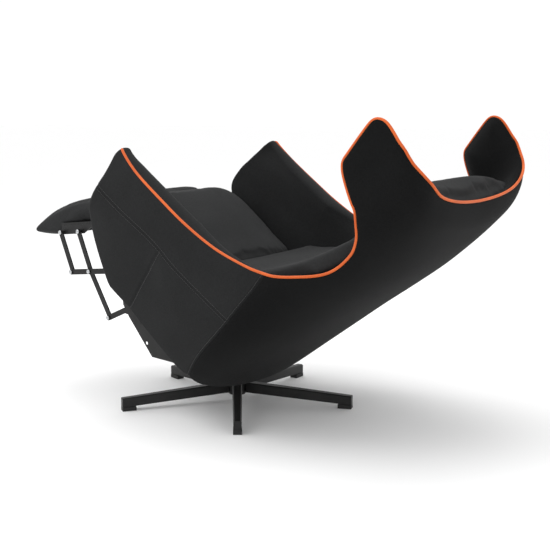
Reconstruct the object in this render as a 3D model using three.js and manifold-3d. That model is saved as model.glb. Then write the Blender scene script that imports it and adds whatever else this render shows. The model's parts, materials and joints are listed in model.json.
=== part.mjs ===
// Reclining lounge chair with a wing-backed upholstered shell on a five-legged swivel base.
//
// The shell tilts about an axle on the swivel head. As it tilts back, a drive rod between the head
// and a crank turns the fold links, which push the footrest out. The model is built in the position
// the chair is stored in: tilted right back, with the footrest out.
//
// Millimetres, +Z up, the sitter faces -Y and the sitter's left is +X.

import * as THREE from "three";
import { mergeVertices } from "three/addons/utils/BufferGeometryUtils.js";
import Module from "manifold-3d";

const wasm = await Module();
wasm.setup();

// ---------------------------------------------------------------- driving dimensions

const DEG = Math.PI / 180;

// The swivel axis stands this far behind the middle of the chair's floor plan.
const SWIVEL_AXIS_Y = -67;

// Tilt of the shell about its axle, and the axle's place when the chair faces forward.
const RECLINE = 33 * DEG;
const TILT_AXLE = [-100, 250];

// Base
const BASE_RADIUS = 350;
const LEG_COUNT = 5;
const FIRST_LEG_ANGLE = 35 * DEG;
const LEG_ROOT_TOP = 58;
const LEG_TIP_TOP = 38;
const LEG_ROOT_DEPTH = 30;
const LEG_TIP_DEPTH = 26;
const LEG_ROOT_WIDTH = 29;
const LEG_TIP_WIDTH = 22;
const HUB_RADIUS = 30;
const FOOT_LENGTH = 40;
const FOOT_HEIGHT = 11.5;

// Fold linkage, (y, z) of each pivot with the shell upright and the footrest out
const FOLD_PIVOT = [-278, 318];
const CROSS_PIVOT = [-395, 224];
const LOWER_FRONT_PIVOT = [-451, 179];
const PAD_REAR_PIVOT = [-495, 296];
const PAD_FRONT_PIVOT = [-551, 251];
const REAR_PIVOT = [-264, 153];
const REAR_LINK_PIVOT = [-147, 247];
const REAR_LINK_BEND = [-227, 211];
const CRANK_ARM = [-18, 41];
const DRIVE_LUG = [-163, 299];

// Sideways layers of the mechanism: middle plane of each flat part and its thickness
const STEEL = 4;
const PLATE_X = 248;
const OUTER_LINK_X = 238;
const INNER_LINK_X = 231;
const BRACKET_X = 218;
const PIN_RADIUS = 4;
const PIN_HEAD_RADIUS = 6.5;
const HOLE_CLEARANCE = 0.3;

// Gap left between pieces that touch, and along the sewn seams between the shell's parts
const GAP = 0.3;
const SEAM_GAP = 1.5;

// ---------------------------------------------------------------- materials

const finish = (color, roughness, metalness) => () =>
  new THREE.MeshStandardMaterial({ color, roughness, metalness });
const fabric = finish(0x26272a, 0.95, 0);
const liningFabric = finish(0x2f3033, 0.95, 0);
const orangePiping = finish(0xe0612d, 0.7, 0);
const blackSteel = finish(0x121212, 0.5, 0.6);
const zincSteel = finish(0xb8babd, 0.35, 0.9);
const blackNylon = finish(0x0b0b0b, 0.6, 0);
const plywood = finish(0xa98a62, 0.8, 0);

// ---------------------------------------------------------------- shape helpers

const CIRCLE_SIDES = 16;

function part(name, geometry, material) {
  const mesh = new THREE.Mesh(geometry, material);
  mesh.name = name;
  return mesh;
}

function solidFrom(geometry) {
  const bare = geometry.clone();
  bare.deleteAttribute("normal");
  bare.deleteAttribute("uv");
  const merged = mergeVertices(bare, 1e-4);
  return new wasm.Manifold(
    new wasm.Mesh({
      numProp: 3,
      vertProperties: new Float32Array(merged.attributes.position.array),
      triVerts: new Uint32Array(merged.index.array),
    }),
  );
}

function geometryFrom(solid) {
  const mesh = solid.getMesh();
  const geometry = new THREE.BufferGeometry();
  geometry.setAttribute("position", new THREE.BufferAttribute(new Float32Array(mesh.vertProperties), 3));
  geometry.setIndex(new THREE.BufferAttribute(new Uint32Array(mesh.triVerts), 1));
  geometry.computeVertexNormals();
  return geometry;
}

function join(geometries) {
  return geometryFrom(geometries.map(solidFrom).reduce((all, next) => all.add(next)));
}

function cut(geometry, ...tools) {
  return geometryFrom(tools.map(solidFrom).reduce((body, tool) => body.subtract(tool), solidFrom(geometry)));
}

function box(x0, x1, y0, y1, z0, z1) {
  const geometry = new THREE.BoxGeometry(x1 - x0, y1 - y0, z1 - z0);
  return geometry.translate((x0 + x1) / 2, (y0 + y1) / 2, (z0 + z1) / 2);
}

// A round bar along X from x0 to x1 with its centre at (y, z).
function barX(x0, x1, [y, z], radius) {
  const geometry = new THREE.CylinderGeometry(radius, radius, x1 - x0, CIRCLE_SIDES);
  return geometry.rotateZ(Math.PI / 2).translate((x0 + x1) / 2, y, z);
}

// Turns an outline drawn as (y, z) into a flat plate across X, from x0 to x1.
function plateX(shape, x0, x1) {
  const options = { depth: x1 - x0, bevelEnabled: false, curveSegments: CIRCLE_SIDES / 2 };
  const geometry = new THREE.ExtrudeGeometry(shape, options);
  const toYZ = new THREE.Matrix4().set(0, 0, 1, x0, 1, 0, 0, 0, 0, 1, 0, 0, 0, 0, 0, 1);
  return geometry.applyMatrix4(toYZ);
}

function polygon(points) {
  return new THREE.Shape(points.map(([u, v]) => new THREE.Vector2(u, v)));
}

// A hole whose flats stay outside the radius.
function roundHole([u, v], radius) {
  const hole = new THREE.Path();
  hole.absarc(u, v, radius / Math.cos(Math.PI / CIRCLE_SIDES), 0, 2 * Math.PI, true);
  return hole;
}

// The outline of a flat strap of constant width whose middle line runs through the points,
// with a round end at each end.
function strapShape(points, width) {
  const half = width / 2;
  const directions = points.slice(1).map((p, i) => Math.atan2(p[1] - points[i][1], p[0] - points[i][0]));
  const shape = new THREE.Shape();
  const first = points[0];
  const last = points[points.length - 1];
  const startAngle = directions[0];
  const endAngle = directions[directions.length - 1];
  shape.absarc(first[0], first[1], half, startAngle + Math.PI / 2, startAngle + 1.5 * Math.PI, false);
  const corners = points.slice(1, -1).map((p, i) => {
    const turn = (directions[i + 1] - directions[i]) / 2;
    const angle = (directions[i] + directions[i + 1]) / 2 - Math.PI / 2;
    const reach = half / Math.cos(turn);
    return { p, dx: reach * Math.cos(angle), dy: reach * Math.sin(angle) };
  });
  corners.forEach(({ p, dx, dy }) => shape.lineTo(p[0] + dx, p[1] + dy));
  shape.absarc(last[0], last[1], half, endAngle - Math.PI / 2, endAngle + Math.PI / 2, false);
  corners.reverse().forEach(({ p, dx, dy }) => shape.lineTo(p[0] - dx, p[1] - dy));
  return shape;
}

// A closed solid between two grids of points. outer(i, j) and inner(i, j) give THREE.Vector3.
function solidBetween(columns, rows, outer, inner) {
  const positions = [];
  const index = [];
  const perSide = (columns + 1) * (rows + 1);
  for (const side of [outer, inner]) {
    for (let i = 0; i <= columns; i++) {
      for (let j = 0; j <= rows; j++) positions.push(...side(i, j).toArray());
    }
  }
  const at = (side, i, j) => side * perSide + i * (rows + 1) + j;
  const quad = (a, b, c, d) => index.push(a, b, c, a, c, d);
  for (let i = 0; i < columns; i++) {
    for (let j = 0; j < rows; j++) {
      quad(at(0, i, j), at(0, i + 1, j), at(0, i + 1, j + 1), at(0, i, j + 1));
      quad(at(1, i, j), at(1, i, j + 1), at(1, i + 1, j + 1), at(1, i + 1, j));
    }
    quad(at(0, i, 0), at(1, i, 0), at(1, i + 1, 0), at(0, i + 1, 0));
    quad(at(0, i, rows), at(0, i + 1, rows), at(1, i + 1, rows), at(1, i, rows));
  }
  for (let j = 0; j < rows; j++) {
    quad(at(0, 0, j), at(0, 0, j + 1), at(1, 0, j + 1), at(1, 0, j));
    quad(at(0, columns, j), at(1, columns, j), at(1, columns, j + 1), at(0, columns, j + 1));
  }
  const geometry = new THREE.BufferGeometry();
  geometry.setAttribute("position", new THREE.BufferAttribute(new Float32Array(positions), 3));
  geometry.setIndex(index);
  geometry.computeVertexNormals();
  return geometry;
}

function mirrored(geometry) {
  const copy = (geometry.index ? geometry.clone() : mergeVertices(geometry)).scale(-1, 1, 1);
  const index = copy.index;
  for (let i = 0; i < index.count; i += 3) {
    const keep = index.getX(i + 1);
    index.setX(i + 1, index.getX(i + 2));
    index.setX(i + 2, keep);
  }
  copy.computeVertexNormals();
  return copy;
}

// Value at x on the smooth curve through the knots [x, value].
function curveAt(knots, x) {
  const last = knots.length - 1;
  if (x <= knots[0][0]) return knots[0][1];
  if (x >= knots[last][0]) return knots[last][1];
  const k = knots.findIndex((knot) => knot[0] > x) - 1;
  const slope = (i) => {
    const a = knots[Math.max(i - 1, 0)];
    const b = knots[Math.min(i + 1, last)];
    return (b[1] - a[1]) / (b[0] - a[0]);
  };
  const [x0, v0] = knots[k];
  const [x1, v1] = knots[k + 1];
  const w = x1 - x0;
  const t = (x - x0) / w;
  const h = t * t * (3 - 2 * t);
  return v0 * (1 - h) + v1 * h + w * (t * (1 - t) ** 2 * slope(k) - t * t * (1 - t) * slope(k + 1));
}

// Point at t from 0 to 1, by length, on the smooth open curve through points in a plane.
function planeCurve(points) {
  const curve = new THREE.SplineCurve(points.map(([u, v]) => new THREE.Vector2(u, v)));
  curve.arcLengthDivisions = 400;
  return (t) => curve.getPointAt(Math.min(Math.max(t, 0), 1));
}

// ---------------------------------------------------------------- upholstered shell
// The shell is a thick wall that runs from the front of one arm, round the back, to the front of
// the other. A place on its outside is (s, z): z is the height with the shell upright, and s runs
// along the wall, -1 at the side's reference line at the front, 0 where the corner starts and 1 at
// the middle of the back.

const SIDE_FRONT_Y = -390;

// Half width of the shell at each height
const HALF_WIDTH = [
  [215, 296], [250, 322], [290, 342], [380, 374], [460, 394], [522, 402], [560, 400], [610, 394], [680, 386],
  [860, 370], [1020, 362], [1160, 356],
];
// y where the corner starts at each height
const CORNER_START = [
  [215, 50], [300, 82], [412, 112], [487, 130], [587, 150], [657, 170], [857, 240], [1000, 270], [1160, 280],
];
// y of the back at its middle at each height
const BACK_Y = [
  [215, 160], [250, 175], [367, 217], [540, 283], [708, 354], [790, 386], [867, 408], [930, 420], [1010, 428],
  [1160, 430],
];
// How square the corners are at each height
const SQUARENESS = [[215, 2.1], [400, 2.3], [600, 2.4], [860, 2.5], [1050, 3.6], [1160, 3.9]];

function halfWidthAt(y, z) {
  const frontEase = Math.max(0, (-250 - y) / 160);
  return curveAt(HALF_WIDTH, z) - 14 * frontEase * frontEase;
}

// The back's top edge is rolled in towards the sitter: height of the rim at each s, how far below
// it the roll starts, and how far in it reaches.
const RIM_HEIGHT = [[0, 1130], [0.12, 1102], [0.4, 1081], [0.65, 1052], [1, 1030]];
const ROLL_HEIGHT = 70;
const ROLL_DEPTH = 22;
const ROLL_START = 0.15;

function rollAt(s, z) {
  if (s <= 0) return 0;
  const rise = Math.max(0, (z - curveAt(RIM_HEIGHT, s) + ROLL_HEIGHT) / ROLL_HEIGHT);
  return ROLL_DEPTH * Math.min(1, s / ROLL_START) * Math.min(rise, 1) ** 2;
}

// Point of the wall at (s, z), a depth in from its outside.
function wallPoint(place, z, depth) {
  const s = Math.min(place, 1);
  const inset = rollAt(s, z) + depth;
  const cornerY = curveAt(CORNER_START, z);
  if (s <= 0) {
    const y = cornerY + s * (cornerY - SIDE_FRONT_Y);
    return new THREE.Vector3(halfWidthAt(y, z) - inset, y, z);
  }
  const angle = (s * Math.PI) / 2;
  const power = 2 / curveAt(SQUARENESS, z);
  const x = s === 1 ? 0 : (curveAt(HALF_WIDTH, z) - inset) * Math.cos(angle) ** power;
  return new THREE.Vector3(x, cornerY + (curveAt(BACK_Y, z) - inset - cornerY) * Math.sin(angle) ** power, z);
}

const outside = (s, z) => wallPoint(s, z, 0);

// s of the place on the side wall that is at y.
function sideS(y, z) {
  const cornerY = curveAt(CORNER_START, z);
  if (y <= cornerY) return (y - cornerY) / (cornerY - SIDE_FRONT_Y);
  const rise = (y - cornerY) / (curveAt(BACK_Y, z) - cornerY);
  return Math.asin(Math.min(1, rise) ** (curveAt(SQUARENESS, z) / 2)) / (Math.PI / 2);
}

// Outlines are drawn as (d, z), where d is the distance along the wall, roughly in millimetres.
const WALL_SPAN = 500;
const fromSide = ([y, z]) => [WALL_SPAN * sideS(y, z), z];
const fromBack = ([s, z]) => [WALL_SPAN * s, z];

// Edges of the shell's outline, (y, z) of points on its side
const ARM_FRONT = [
  [-235, 314], [-323, 410], [-362, 456], [-384, 491], [-385, 544], [-380, 582], [-378, 618], [-383, 655],
];
const ARM_RIM = [
  [-383, 655], [-366, 661], [-330, 654], [-281, 646], [-198, 638], [-98, 631], [12, 634], [110, 652],
  [165, 670],
];
const SIDE_BACK_SEAM = [[92, 256], [106, 335], [134, 443], [149, 510], [161, 601], [165, 670]];
const NOTCH_AND_WING_FRONT = [
  [165, 670], [230, 708], [293, 764], [318, 835], [315, 886], [289, 931], [228, 977], [190, 1012], [187, 1041],
  [194, 1128], [205, 1149],
];
const BOTTOM_SIDE = [[-235, 314], [-157, 302], [-96, 290], [-19, 272], [50, 258], [92, 256]];

// s and height of the rear outline: along the bottom and along the head rim, seam to middle
const BOTTOM_REAR = [fromSide([92, 256]), ...[[0.3, 236], [0.6, 228], [1, 232]].map(fromBack)];
const HEAD_RIM = [
  ...[[205, 1149], [222, 1153], [250, 1146]].map(fromSide),
  ...RIM_HEIGHT.map(fromBack),
];

// Wall thickness at each height
const WALL = [[215, 52], [400, 74], [500, 88], [620, 78], [760, 66], [1000, 56], [1160, 40]];

// A patch of the outside bounded by four outlines. It gives s and z at a from front to rear and
// v from bottom to top.
function patch(front, rear, bottom, top) {
  return (a, v) => {
    const [f, r, b, t] = [front(v), rear(v), bottom(a), top(a)];
    const [b0, b1, t0, t1] = [bottom(0), bottom(1), top(0), top(1)];
    const point = (key) =>
      (1 - v) * b[key] + v * t[key] + (1 - a) * f[key] + a * r[key] -
      (1 - a) * (1 - v) * b0[key] - a * (1 - v) * b1[key] - (1 - a) * v * t0[key] - a * v * t1[key];
    return [point("x") / WALL_SPAN, point("y")];
  };
}

const sideOutline = (points) => planeCurve(points.map(fromSide));
const sideSeam = sideOutline(SIDE_BACK_SEAM);
const wingFront = sideOutline(NOTCH_AND_WING_FRONT);
const sidePatch = patch(sideOutline(ARM_FRONT), sideSeam, sideOutline(BOTTOM_SIDE), sideOutline(ARM_RIM));

// The back's front edge goes up the seam, then round the notch above the arm and up the wing.
const SEAM_SHARE = 0.4;
const seamThenWing = (v) =>
  v < SEAM_SHARE ? sideSeam(v / SEAM_SHARE) : wingFront((v - SEAM_SHARE) / (1 - SEAM_SHARE));
const middleOfBack = planeCurve([[1, 232], [1, 500], [1, 800], [1, 1030]].map(fromBack));
const backPatch = patch(seamThenWing, middleOfBack, planeCurve(BOTTOM_REAR), planeCurve(HEAD_RIM));

// How far the arm's front leans forward towards its inner edge, at each height
const FRONT_LEAN = [[314, 0], [430, 30], [500, 38], [560, 32], [610, 18], [655, 0]];

function shellSide() {
  const columns = 16;
  const rows = 12;
  const place = (i, j) => sidePatch(i / columns, j / rows);
  const atSeam = (i, point) => (i === columns ? point.setY(point.y - SEAM_GAP) : point);
  const outer = (i, j) => atSeam(i, outside(...place(i, j)));
  const inner = (i, j) => {
    const [s, z] = place(i, j);
    const point = atSeam(i, wallPoint(s, z, curveAt(WALL, z)));
    return point.setY(point.y - curveAt(FRONT_LEAN, z) * (1 - i / columns) ** 4);
  };
  return solidBetween(columns, rows, outer, inner);
}

function shellBack() {
  const half = 13;
  const rows = 30;
  const sided = (i, point) => (i > half ? point.setX(-point.x) : point);
  const place = (i, j) => backPatch(i <= half ? i / half : (2 * half - i) / half, j / rows);
  const outer = (i, j) => sided(i, outside(...place(i, j)));
  const inner = (i, j) => {
    const [s, z] = place(i, j);
    return sided(i, wallPoint(s, z, curveAt(WALL, z)));
  };
  return solidBetween(2 * half, rows, outer, inner);
}

// ---------------------------------------------------------------- piping

const PIPING_RADIUS = 4;

// Cord sewn along the top edge of the arms, wings and head. It turns down a little at each arm's front.
function piping() {
  const clear = PIPING_RADIUS + 4;
  const runs = [
    { curve: sideOutline(ARM_FRONT.slice(-3)), steps: 5 },
    { curve: sideOutline(ARM_RIM), steps: 14 },
    { curve: wingFront, steps: 22 },
    { curve: planeCurve(HEAD_RIM), steps: 15 },
  ];
  const edge = [];
  runs.forEach(({ curve, steps }, r) => {
    for (let k = r === 0 ? 0 : 1; k <= steps; k++) {
      const { x: d, y: z } = curve(k / steps);
      const point = outside(d / WALL_SPAN, z);
      edge.push({ point, outward: point.clone().sub(wallPoint(d / WALL_SPAN, z, 1)).normalize() });
    }
  });
  const left = edge.map(({ point, outward }, k) => {
    const before = edge[Math.max(k - 1, 0)].point;
    const after = edge[Math.min(k + 1, edge.length - 1)].point;
    const along = after.clone().sub(before).normalize();
    const away = outward.clone().cross(along).normalize();
    return point.clone().addScaledVector(away, clear).addScaledVector(outward, -2);
  });
  left[left.length - 1].x = 0;
  const right = left.slice(0, -1).reverse().map((p) => new THREE.Vector3(-p.x, p.y, p.z));
  const path = new THREE.CatmullRomCurve3([...left, ...right], false, "centripetal");
  const section = new THREE.Shape();
  section.absarc(0, 0, PIPING_RADIUS, 0, 2 * Math.PI, false);
  const sweep = { steps: 130, extrudePath: path, curveSegments: 4, bevelEnabled: false };
  return new THREE.ExtrudeGeometry(section, sweep);
}

// ---------------------------------------------------------------- cushions

const SEAT_HALF_WIDTH = 290;
const SEAT_FRONT_Y = -410;
const SEAT_REAR_Y = -68;
const BOARD_FRONT = [-360, 400];
const BOARD_SLOPE = -0.1;
const BOARD_THICKNESS = 12;

const boardTop = (y) => BOARD_FRONT[1] + BOARD_SLOPE * (y - BOARD_FRONT[0]);
const boardBottom = (y) => boardTop(y) - BOARD_THICKNESS;

// Height of the seat's middle from front to rear
const SEAT_TOP = [
  [SEAT_FRONT_Y, 445], [-402, 480], [-385, 497], [-350, 504], [-250, 501], [-150, 494], [SEAT_REAR_Y, 487],
];
const SEAT_CROWN = 48;

function seatCushion() {
  const columns = 12;
  const rows = 14;
  const place = (i, j) => {
    const a = (2 * i) / columns - 1;
    const rearY = SEAT_REAR_Y - 44 * a ** 4;
    const y = SEAT_FRONT_Y + (rearY - SEAT_FRONT_Y) * (j / rows) ** 1.3;
    return { a, x: a * SEAT_HALF_WIDTH, y };
  };
  const top = (i, j) => {
    const { a, x, y } = place(i, j);
    return new THREE.Vector3(x, y, curveAt(SEAT_TOP, y) - SEAT_CROWN * Math.abs(a) ** 3);
  };
  const bottom = (i, j) => {
    const { x, y } = place(i, j);
    return new THREE.Vector3(x, Math.max(y, -388), boardTop(y) + 1);
  };
  return solidBetween(columns, rows, top, bottom);
}

// y of the back cushion's front at each height
const BACK_FRONT_Y = [
  [440, -40], [487, -64], [527, -8], [612, 100], [717, 196], [827, 262], [900, 286], [960, 292], [1010, 290],
  [1046, 330],
];
// How far its side edges stand behind its middle at each height
const BACK_EDGE_Y = [[440, -30], [487, -10], [612, 0], [717, 6], [927, 14], [1046, 26]];

function backCushion() {
  const columns = 16;
  const rows = 18;
  const lowest = 440;
  const highest = 1046;
  const edgeDepth = 70;
  const clearance = 5;
  const place = (i, j) => {
    const a = (2 * i) / columns - 1;
    const z = lowest + ((highest - lowest) * j) / rows;
    const wall = curveAt(WALL, z) + clearance;
    const edgeS = sideS(curveAt(BACK_FRONT_Y, z) + edgeDepth, z);
    const s = edgeS + (1 - edgeS) * (1 - Math.abs(a)) ** 0.8;
    const rear = wallPoint(s, z, wall);
    if (a < 0) rear.x = -rear.x;
    return { a, z, rear };
  };
  const rearFace = (i, j) => place(columns - i, j).rear;
  const frontFace = (i, j) => {
    const { a, z, rear } = place(columns - i, j);
    return new THREE.Vector3(rear.x, curveAt(BACK_FRONT_Y, z) + curveAt(BACK_EDGE_Y, z) * Math.abs(a) ** 3, z);
  };
  return solidBetween(columns, rows, rearFace, frontFace);
}

// ---------------------------------------------------------------- seat frame

const RAIL_DEPTH = 34;

// A rail's outline under the board, from y0 to y1
function railShape(y0, y1, depth = RAIL_DEPTH) {
  const top = (y) => boardBottom(y) - GAP;
  return polygon([[y0, top(y0)], [y0, top(y0) - depth], [y1, top(y1) - depth], [y1, top(y1)]]);
}

function seatBoard() {
  const rearY = -75;
  const outline = polygon([
    [BOARD_FRONT[0], boardBottom(BOARD_FRONT[0])],
    [rearY, boardBottom(rearY)],
    [rearY, boardTop(rearY)],
    BOARD_FRONT,
  ]);
  return plateX(outline, -283, 283);
}

function sideRail() {
  return plateX(railShape(-350, 20), PLATE_X + STEEL / 2 + GAP, 271);
}

function crossRail(y0, y1) {
  const half = PLATE_X - STEEL / 2 - GAP;
  return plateX(railShape(y0, y1), -half, half);
}

const PIVOT_PLATE_X = 85;
const BUSH_OUTER_RADIUS = 13;
const AXLE_RADIUS = 8;
const RUNNING_CLEARANCE = 0.1;

// Plate that hangs from the middle cross rail and carries the tilt axle's bush.
function pivotPlate() {
  const [y, z] = TILT_AXLE;
  const top = boardBottom(y) - RAIL_DEPTH - 5;
  const shape = new THREE.Shape();
  shape.moveTo(y + 45, top);
  shape.lineTo(y - 35, top);
  shape.absarc(y, z, 22, Math.PI, 2 * Math.PI, false);
  shape.holes.push(roundHole(TILT_AXLE, BUSH_OUTER_RADIUS + GAP));
  return plateX(shape, PIVOT_PLATE_X - 3, PIVOT_PLATE_X + 3);
}

function pivotBush() {
  const ring = new THREE.Shape();
  ring.absarc(...TILT_AXLE, BUSH_OUTER_RADIUS, 0, 2 * Math.PI, false);
  ring.holes.push(roundHole(TILT_AXLE, AXLE_RADIUS + RUNNING_CLEARANCE));
  return plateX(ring, PIVOT_PLATE_X - 4, PIVOT_PLATE_X + 4);
}

const SHAFT_RADIUS = 9;

// Mechanism side plate, with the pin that carries the rear link.
function mechanismPlate() {
  const outline = polygon([
    [-310, 376], [-300, 318], [-285, 298], [-234, 230], [-198, 213], [-70, 168], [12, 212],
    [35, boardBottom(35) - 3],
  ]);
  outline.holes.push(roundHole([-153, 229], 5), roundHole([-107, 189], 5));
  outline.holes.push(roundHole(FOLD_PIVOT, SHAFT_RADIUS + 0.2));
  const plate = plateX(outline, PLATE_X - STEEL / 2, PLATE_X + STEEL / 2);
  const pin = barX(OUTER_LINK_X - STEEL / 2 - 2.3, PLATE_X, REAR_LINK_PIVOT, PIN_RADIUS);
  const linkFace = OUTER_LINK_X - STEEL / 2;
  const head = barX(linkFace - 2.3, linkFace - GAP, REAR_LINK_PIVOT, PIN_HEAD_RADIUS);
  return join([plate, pin, head]);
}

// ---------------------------------------------------------------- fold linkage

const LINK_WIDTH = 15;

// A flat link in the layer at x, with clearance holes, and with riveted pins that reach out to pinTo.
function flatLink(x, points, { width = LINK_WIDTH, holes = [], pins = [], pinTo = 0 }) {
  const shape = strapShape(points, width);
  holes.forEach(([at, radius]) => shape.holes.push(roundHole(at, radius)));
  const strap = plateX(shape, x - STEEL / 2, x + STEEL / 2);
  const rivets = pins.flatMap((at) => [
    barX(x, pinTo, at, PIN_RADIUS),
    barX(pinTo - 2.4, pinTo, at, PIN_HEAD_RADIUS),
  ]);
  return join([strap, ...rivets]);
}

const PIN_HOLE = PIN_RADIUS + HOLE_CLEARANCE;
const OUTER_PIN_END = OUTER_LINK_X + STEEL / 2 + GAP + 2.4;
const INNER_PIN_END = INNER_LINK_X + STEEL / 2 + GAP + 2.4;

function foldLink() {
  const strap = flatLink(OUTER_LINK_X, [FOLD_PIVOT, CROSS_PIVOT, LOWER_FRONT_PIVOT], {
    width: 16,
    holes: [[CROSS_PIVOT, PIN_HOLE], [LOWER_FRONT_PIVOT, PIN_HOLE]],
  });
  const eye = barX(OUTER_LINK_X - STEEL / 2, OUTER_LINK_X + STEEL / 2, FOLD_PIVOT, 15);
  const bore = barX(OUTER_LINK_X - STEEL, OUTER_LINK_X + STEEL, FOLD_PIVOT, SHAFT_RADIUS + GAP);
  return cut(join([strap, eye]), bore);
}

function crossLink() {
  return flatLink(INNER_LINK_X, [PAD_REAR_PIVOT, CROSS_PIVOT, REAR_PIVOT], {
    holes: [[PAD_REAR_PIVOT, PIN_HOLE]],
    pins: [CROSS_PIVOT, REAR_PIVOT],
    pinTo: OUTER_PIN_END,
  });
}

function frontLink() {
  return flatLink(INNER_LINK_X, [PAD_FRONT_PIVOT, LOWER_FRONT_PIVOT], {
    holes: [[PAD_FRONT_PIVOT, PIN_HOLE]],
    pins: [LOWER_FRONT_PIVOT],
    pinTo: OUTER_PIN_END,
  });
}

function rearLink() {
  return flatLink(OUTER_LINK_X, [REAR_PIVOT, REAR_LINK_BEND, REAR_LINK_PIVOT], {
    width: 16,
    holes: [[REAR_PIVOT, PIN_RADIUS + 1], [REAR_LINK_PIVOT, PIN_HOLE]],
  });
}

function foldShaft() {
  const reach = PLATE_X + STEEL / 2 + 3;
  return barX(-reach, reach, FOLD_PIVOT, SHAFT_RADIUS);
}

const CRANK_X = 58;
const ROD_X = 66;
const CRANK_PIN = [FOLD_PIVOT[0] + CRANK_ARM[0], FOLD_PIVOT[1] + CRANK_ARM[1]];

function driveCrank() {
  const pinEnd = ROD_X + STEEL / 2 + 3;
  const arm = flatLink(CRANK_X, [FOLD_PIVOT, CRANK_PIN], { width: 16, pins: [CRANK_PIN], pinTo: pinEnd });
  const eye = barX(CRANK_X - STEEL / 2, CRANK_X + STEEL / 2, FOLD_PIVOT, 15);
  const bore = barX(CRANK_X - STEEL, CRANK_X + STEEL, FOLD_PIVOT, SHAFT_RADIUS + GAP);
  return cut(join([arm, eye]), bore);
}

// ---------------------------------------------------------------- footrest
// The footrest's parts are drawn in its own frame: u runs along the line through its two pivots,
// from front to rear, and n stands out from that line towards the sitter's feet.

const PAD_AXIS = Math.atan2(PAD_REAR_PIVOT[1] - PAD_FRONT_PIVOT[1], PAD_REAR_PIVOT[0] - PAD_FRONT_PIVOT[0]);
const PAD_HALF_WIDTH = 222;
const PIVOT_SPACING = Math.hypot(
  PAD_REAR_PIVOT[0] - PAD_FRONT_PIVOT[0],
  PAD_REAR_PIVOT[1] - PAD_FRONT_PIVOT[1],
);

function padPoint([u, n]) {
  const [c, s] = [Math.cos(PAD_AXIS), Math.sin(PAD_AXIS)];
  return [PAD_FRONT_PIVOT[0] + c * u - s * n, PAD_FRONT_PIVOT[1] + s * u + c * n];
}

function footrestPad() {
  const underside = [[-146, -2], [-84, -5], [-20, -5], [-11, 4], [-8, 27.5], [198, 27.5]];
  const top = [
    [198, 27.5], [213, 45], [214, 80], [200, 101], [138, 98], [28, 86], [-58, 61], [-118, 30], [-150, 8],
    [-146, -2],
  ];
  const curve = new THREE.SplineCurve(top.slice(1).map((p) => new THREE.Vector2(...p)));
  const points = [...underside, ...curve.getPoints(26).slice(0, -1).map((p) => p.toArray())];
  return plateX(polygon(points.map(padPoint)), -PAD_HALF_WIDTH, PAD_HALF_WIDTH);
}

function footrestBoard() {
  const outline = [[-6, 20.8], [192, 20.8], [192, 27.2], [-6, 27.2]];
  return plateX(polygon(outline.map(padPoint)), -BRACKET_X - 2, BRACKET_X + 2);
}

function footrestBracket() {
  const outline = [[-9, -7], [PIVOT_SPACING + 9, -7], [PIVOT_SPACING + 60, 20.5], [-5, 20.5]];
  const plate = plateX(polygon(outline.map(padPoint)), BRACKET_X - STEEL / 2, BRACKET_X + STEEL / 2);
  const pins = [PAD_FRONT_PIVOT, PAD_REAR_PIVOT].flatMap((at) => [
    barX(BRACKET_X, INNER_PIN_END, at, PIN_RADIUS),
    barX(INNER_PIN_END - 2.4, INNER_PIN_END, at, PIN_HEAD_RADIUS),
  ]);
  return join([plate, ...pins]);
}

// ---------------------------------------------------------------- swivel head

const BRACKET_PLATE_TOP = 96;
const CHEEK_X = 75;

function swivelSleeve() {
  const profile = [[14.1, 66.3], [26, 66.3], [26, 88], [14.1, 88], [14.1, 66.3]];
  return new THREE.LatheGeometry(profile.map(([r, z]) => new THREE.Vector2(r, z)), 32).rotateX(Math.PI / 2);
}

// Foot plate and two cheeks. The left cheek also carries the drive rod's lug.
function tiltBracket() {
  const plate = box(-80, 80, -78, 42, 88.3, BRACKET_PLATE_TOP);
  const cheekShape = (withLug) => {
    const shape = new THREE.Shape();
    const [y, z] = TILT_AXLE;
    shape.moveTo(40, BRACKET_PLATE_TOP - 2);
    shape.lineTo(40, BRACKET_PLATE_TOP + 14);
    shape.absarc(y, z, 20, 0.1 * Math.PI, 0.55 * Math.PI, false);
    if (withLug) shape.absarc(...DRIVE_LUG, 13, 0.5 * Math.PI, 1.2 * Math.PI, false);
    else shape.absarc(y, z, 20, 0.55 * Math.PI, Math.PI, false);
    shape.lineTo(-112, 232);
    shape.lineTo(-76, BRACKET_PLATE_TOP + 14);
    shape.lineTo(-76, BRACKET_PLATE_TOP - 2);
    return shape;
  };
  const cheek = (x, withLug) => {
    const shape = cheekShape(withLug);
    shape.holes.push(roundHole(TILT_AXLE, AXLE_RADIUS + GAP));
    return plateX(shape, x - 3, x + 3);
  };
  const rodPin = barX(ROD_X - 5, CHEEK_X, DRIVE_LUG, PIN_RADIUS + 1);
  return join([plate, cheek(CHEEK_X, true), cheek(-CHEEK_X, false), rodPin]);
}

function tiltAxle() {
  return barX(-PIVOT_PLATE_X - 8, PIVOT_PLATE_X + 8, TILT_AXLE, AXLE_RADIUS);
}

// The drive rod is drawn where it is with the shell tilted back, because it rides on the swivel
// head. It is cranked, (along, aside) from the lug, so that it passes under the fold shaft.
const ROD_BENDS = [[82, 36], [120, 38]];
const ROD_WIDTH = 12;

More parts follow.
